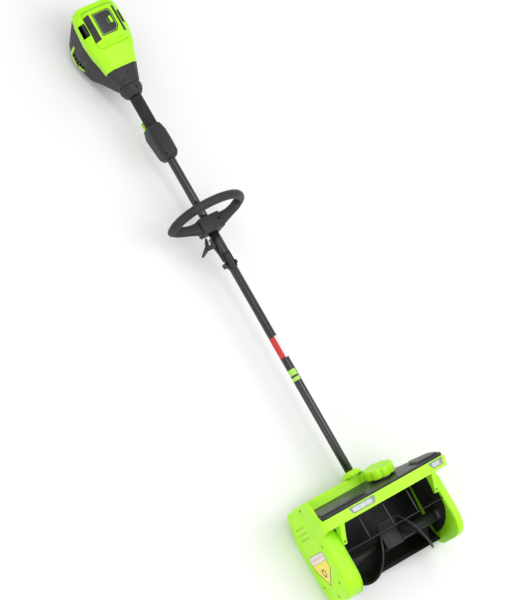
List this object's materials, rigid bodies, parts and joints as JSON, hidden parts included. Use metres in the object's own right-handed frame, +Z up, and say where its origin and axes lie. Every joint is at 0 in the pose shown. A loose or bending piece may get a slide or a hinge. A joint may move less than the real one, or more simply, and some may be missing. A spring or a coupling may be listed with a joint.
{
  "type": "cordless snow shovel",
  "caption": "Cordless snow shovel with a belt-driven auger, steerable snow vanes, a folding pole, a sliding loop handle, a trigger grip and a lift-off battery.",
  "frame": {"origin": "centre of the footprint, on the floor that the parked shovel lies on", "axes": "+Y along the pole from the auger to the battery end, +X across the head away from the drive housing, +Z up, out of the deck, headlights and battery"},
  "size_m": [0.424, 1.8271, 0.2437],
  "materials": {
    "lime_plastic": "semi-gloss moulded",
    "black_cover": "semi-gloss moulded",
    "dark_plastic": "fine moulded texture",
    "chamber_plastic": "fine moulded texture",
    "auger_rubber": "matte",
    "grip_rubber": "matte ribbed",
    "grey_plastic": "matte",
    "black_tube": "gloss black paint",
    "plated_steel": "zinc plated",
    "copper_winding": "enamelled wire",
    "clear_lens": "clear moulded"
  },
  "bodies": {
    "head": {"drive_cover": "lime_plastic", "drive_side_plate": "lime_plastic", "right_side_plate": "lime_plastic", "right_side_cover": "lime_plastic", "deck_frame": "lime_plastic", "top_cover": "black_cover", "back_wall": "chamber_plastic", "scraper_bar": "chamber_plastic", "headlight_lens_left": "clear_lens", "headlight_lens_right": "clear_lens", "headlight_board_left": "grey_plastic", "headlight_board_right": "grey_plastic", "drive_belt": "grip_rubber", "motor_stator": "copper_winding", "auger_bearing_left": "plated_steel", "auger_bearing_right": "plated_steel", "pole_socket": "lime_plastic", "lower_tube": "black_tube", "lower_cable": "grip_rubber", "vane_rail": "grey_plastic"},
    "auger": {"auger_shaft": "plated_steel", "auger_hub": "auger_rubber", "auger_flight_left": "auger_rubber", "auger_flight_right": "auger_rubber", "centre_paddle": "auger_rubber", "large_pulley": "dark_plastic"},
    "motor_rotor": {"rotor_bell": "plated_steel", "small_pulley": "plated_steel"},
    "direction_knob": {"direction_knob": "lime_plastic"},
    "vane_left": {"vane_left": "dark_plastic"},
    "vane_centre": {"vane_centre": "dark_plastic"},
    "vane_right": {"vane_right": "dark_plastic"},
    "vane_link": {"vane_link": "grey_plastic"},
    "upper_pole": {"upper_tube": "black_tube", "upper_cable": "grip_rubber", "fold_sleeve": "black_tube", "fold_pin": "plated_steel", "fold_nut": "plated_steel", "latch_bracket": "black_tube", "rear_grip": "grip_rubber", "trigger_housing_left": "dark_plastic", "trigger_housing_right": "dark_plastic", "trigger_switch": "black_cover", "neck_collar": "dark_plastic", "lower_shell": "dark_plastic", "upper_shell": "lime_plastic", "terminal_block": "black_cover", "motor_controller": "grey_plastic", "rest_foot": "grey_plastic"},
    "latch_lever": {"latch_lever": "black_cover"},
    "lock_pin": {"lock_pin": "plated_steel"},
    "loop_handle": {"loop_handle": "dark_plastic", "handle_clamp_cap": "dark_plastic", "clamp_bolt_left": "plated_steel", "clamp_bolt_right": "plated_steel"},
    "trigger": {"trigger": "lime_plastic"},
    "lock_off_button": {"lock_off_button": "lime_plastic"},
    "battery_pack": {"battery_pack": "lime_plastic"},
    "release_button_left": {"release_button_left": "black_cover"},
    "release_button_right": {"release_button_right": "black_cover"}
  },
  "joints": [
    {"name": "auger_spin", "type": "hinge", "parent": "head", "child": "auger", "pos_m": [0.003, -0.8312, 0.09107], "axis": [1, 0, 0], "continuous": true},
    {"name": "motor_spin", "type": "hinge", "parent": "head", "child": "motor_rotor", "pos_m": [-0.187, -0.69724, 0.09483], "axis": [1, 0, 0], "continuous": true},
    {"name": "knob_turn", "type": "hinge", "parent": "head", "child": "direction_knob", "pos_m": [0.05, -0.67297, 0.15916], "axis": [0, 0.9559, 0.2937], "range_deg": [-45, 45]},
    {"name": "vane_left_swing", "type": "hinge", "parent": "head", "child": "vane_left", "pos_m": [-0.0795, -0.79936, 0.1795], "axis": [0, 0.9999, 0.0131], "range_deg": [-20.5, 20.5]},
    {"name": "vane_centre_swing", "type": "hinge", "parent": "head", "child": "vane_centre", "pos_m": [0.003, -0.79936, 0.1795], "axis": [0, 0.9999, 0.0131], "range_deg": [-20.5, 20.5]},
    {"name": "vane_right_swing", "type": "hinge", "parent": "head", "child": "vane_right", "pos_m": [0.0855, -0.79936, 0.1795], "axis": [0, 0.9999, 0.0131], "range_deg": [-20.5, 20.5]},
    {"name": "link_slide", "type": "slide", "parent": "head", "child": "vane_link", "axis": [1, 0, 0], "range_m": [-0.015, 0.015]},
    {"name": "pole_fold", "type": "hinge", "parent": "head", "child": "upper_pole", "pos_m": [0.003, 0.06972, 0.10291], "axis": [1, 0, 0], "range_deg": [0, 130]},
    {"name": "latch_lever_press", "type": "hinge", "parent": "upper_pole", "child": "latch_lever", "pos_m": [-0.037, 0.13772, 0.1038], "axis": [0, -0.0131, 0.9999], "range_deg": [0, 15], "stiffness_Nm_per_rad": 0.2, "springref_deg": -5.73},
    {"name": "lock_pin_pull", "type": "slide", "parent": "upper_pole", "child": "lock_pin", "axis": [-1, 0, 0], "range_m": [0, 0.0039]},
    {"name": "loop_slide", "type": "slide", "parent": "upper_pole", "child": "loop_handle", "axis": [0, 0.9999, 0.0131], "range_m": [0, 0.12]},
    {"name": "trigger_pull", "type": "hinge", "parent": "upper_pole", "child": "trigger", "pos_m": [0.003, 0.51204, 0.08172], "axis": [1, 0, 0], "range_deg": [0, 10], "stiffness_Nm_per_rad": 0.2, "springref_deg": -8.59},
    {"name": "lock_off_push", "type": "slide", "parent": "upper_pole", "child": "lock_off_button", "axis": [-1, 0, 0], "range_m": [0, 0.003], "stiffness_N_per_m": 200, "springref_m": -0.002},
    {"name": "battery_slide", "type": "slide", "parent": "upper_pole", "child": "battery_pack", "axis": [0, -0.0131, 0.9999], "range_m": [0, 0.06]},
    {"name": "release_left_push", "type": "slide", "parent": "upper_pole", "child": "release_button_left", "axis": [1, 0, 0], "range_m": [0, 0.002], "stiffness_N_per_m": 250, "springref_m": -0.001},
    {"name": "release_right_push", "type": "slide", "parent": "upper_pole", "child": "release_button_right", "axis": [-1, 0, 0], "range_m": [0, 0.002], "stiffness_N_per_m": 250, "springref_m": -0.001}
  ],
  "couplings": [
    {"joint": "motor_spin", "follows": "auger_spin", "ratio": 4.3333},
    {"joint": "vane_left_swing", "follows": "knob_turn", "ratio": 0.44444},
    {"joint": "vane_centre_swing", "follows": "knob_turn", "ratio": 0.44444},
    {"joint": "vane_right_swing", "follows": "knob_turn", "ratio": 0.44444},
    {"joint": "link_slide", "follows": "knob_turn", "m_per_rad": -0.018667},
    {"joint": "latch_lever_press", "follows": "lock_pin_pull", "rad_per_m": 66.667}
  ]
}
